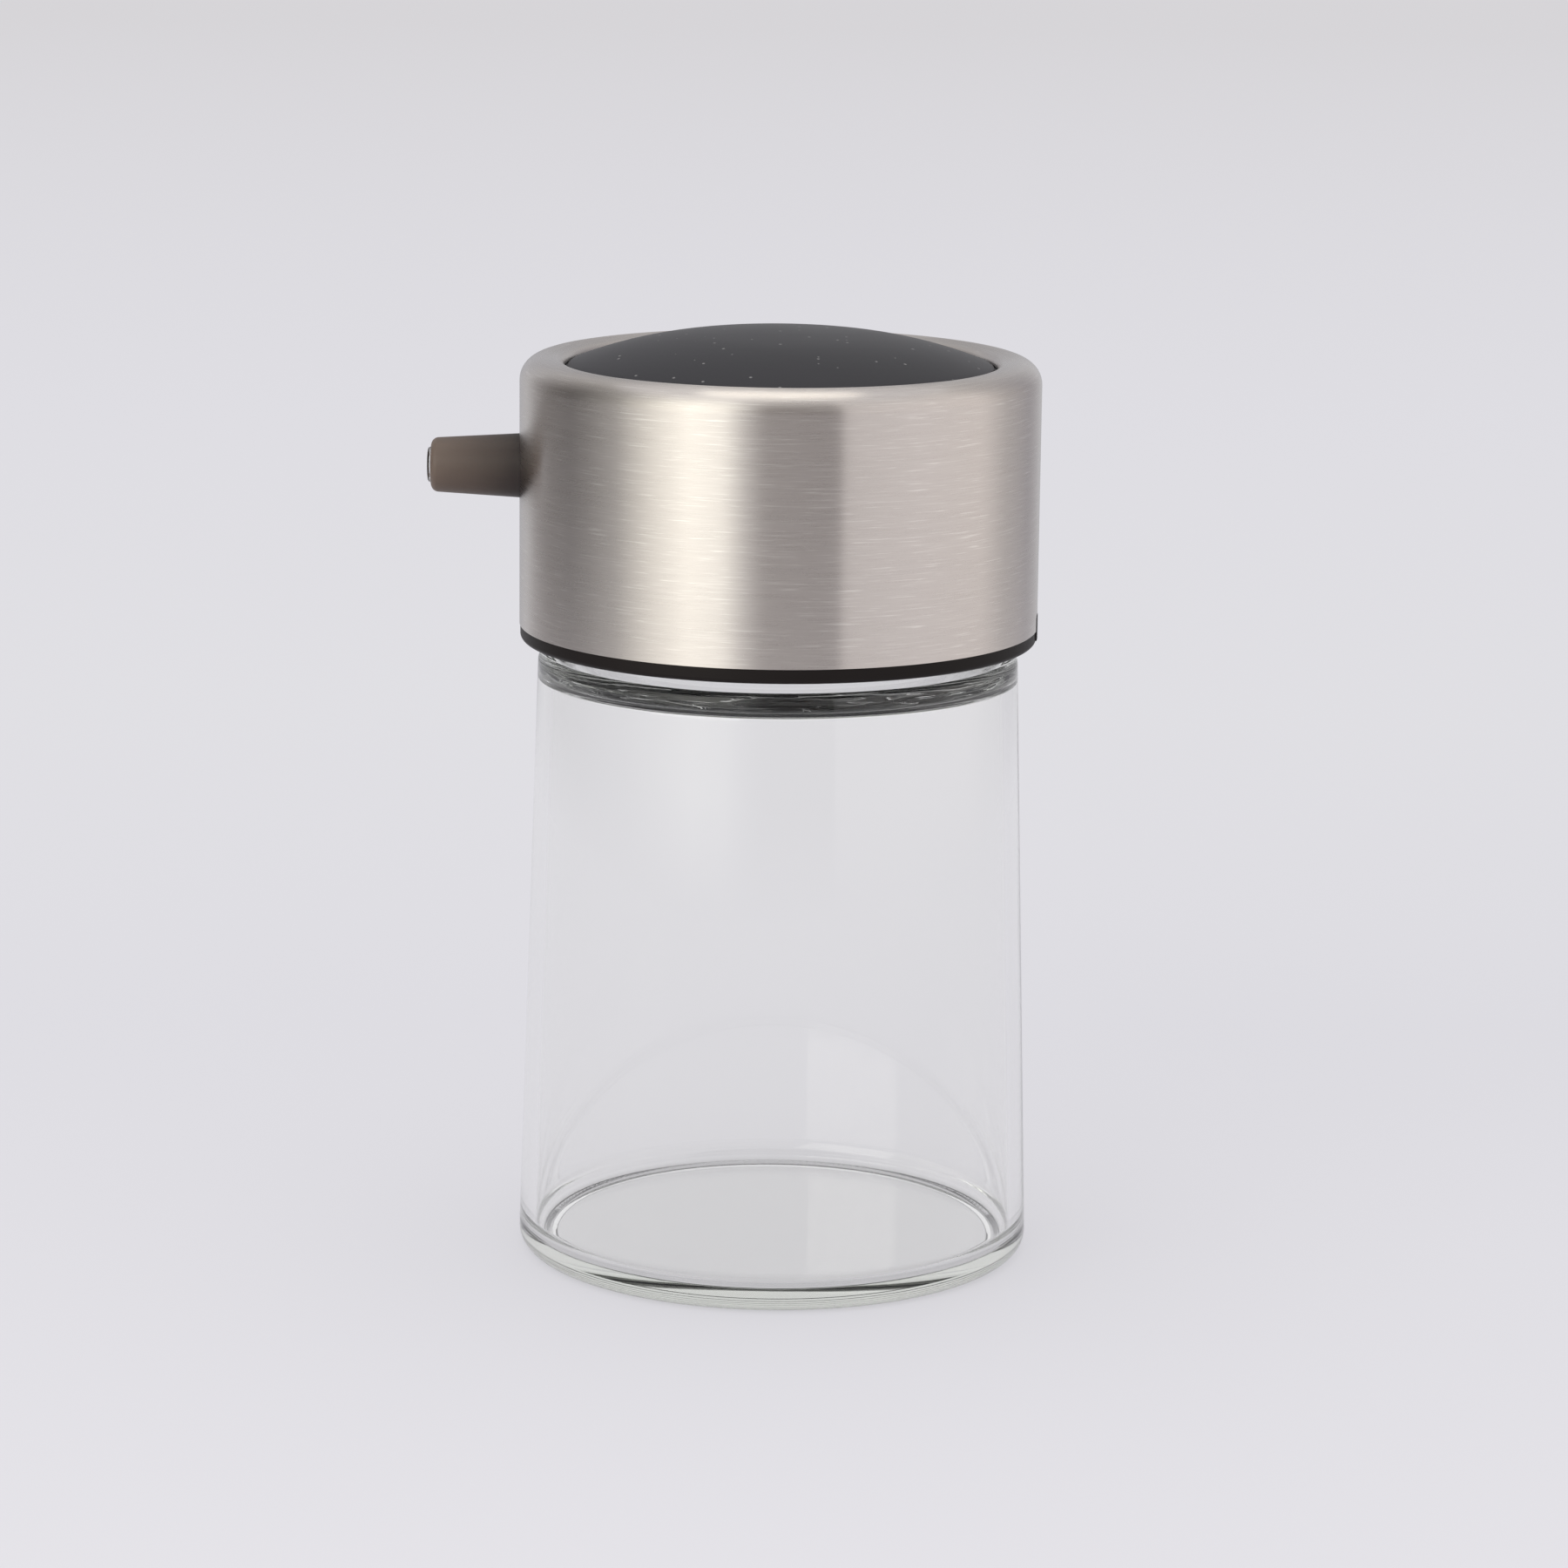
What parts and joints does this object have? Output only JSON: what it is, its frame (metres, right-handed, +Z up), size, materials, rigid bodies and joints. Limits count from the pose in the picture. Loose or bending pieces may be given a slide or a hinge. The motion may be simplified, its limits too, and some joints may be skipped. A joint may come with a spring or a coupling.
{
  "type": "soy sauce dispenser",
  "caption": "Tilt-and-push soy sauce dispenser: tapered glass jar, screw-on brushed steel pump cap, domed push button and short rubber nozzle.",
  "frame": {"origin": "centre of the jar's foot, on the plane that it stands on", "axes": "+Z up along the jar's axis, -X along the nozzle, +X to the cap's rear tab"},
  "size_m": [0.073, 0.062, 0.112],
  "materials": {
    "clear_glass": "clear pressed soda-lime glass, fire polished",
    "clear_silicone": "translucent silicone, satin",
    "black_plastic": "black polypropylene, fine satin",
    "natural_plastic": "natural polypropylene, satin",
    "grey_silicone": "dark grey silicone, matt",
    "button_rubber": "dark grey silicone, matt",
    "brushed_steel": "stainless steel, fine round brushing",
    "clear_plastic": "clear rigid plastic, polished",
    "nozzle_rubber": "grey-brown translucent silicone, satin"
  },
  "bodies": {
    "jar": {"glass_jar": "clear_glass"},
    "gasket": {"neck_gasket": "clear_silicone"},
    "cap": {"cap_base": "black_plastic", "pump_body": "natural_plastic", "pump_diaphragm": "grey_silicone", "clamp_ring": "black_plastic", "steel_cover": "brushed_steel", "spout_tube": "clear_plastic", "nozzle": "nozzle_rubber"},
    "button": {"push_button": "button_rubber"}
  },
  "joints": [
    {"name": "cap_lift", "type": "slide", "parent": "jar", "child": "gasket", "axis": [0, 0, 1], "range_m": [0, 0.008]},
    {"name": "cap_turn", "type": "hinge", "parent": "gasket", "child": "cap", "pos_m": [0, 0, 0.08], "axis": [0, 0, 1], "range_deg": [0, 720]},
    {"name": "button_press", "type": "slide", "parent": "cap", "child": "button", "axis": [0, 0, -1], "range_m": [0, 0.003], "stiffness_N_per_m": 400, "springref_m": -0.002, "deforming": ["pump_diaphragm"]}
  ],
  "couplings": [
    {"joint": "cap_lift", "follows": "cap_turn", "m_per_rad": 0.00063662}
  ]
}
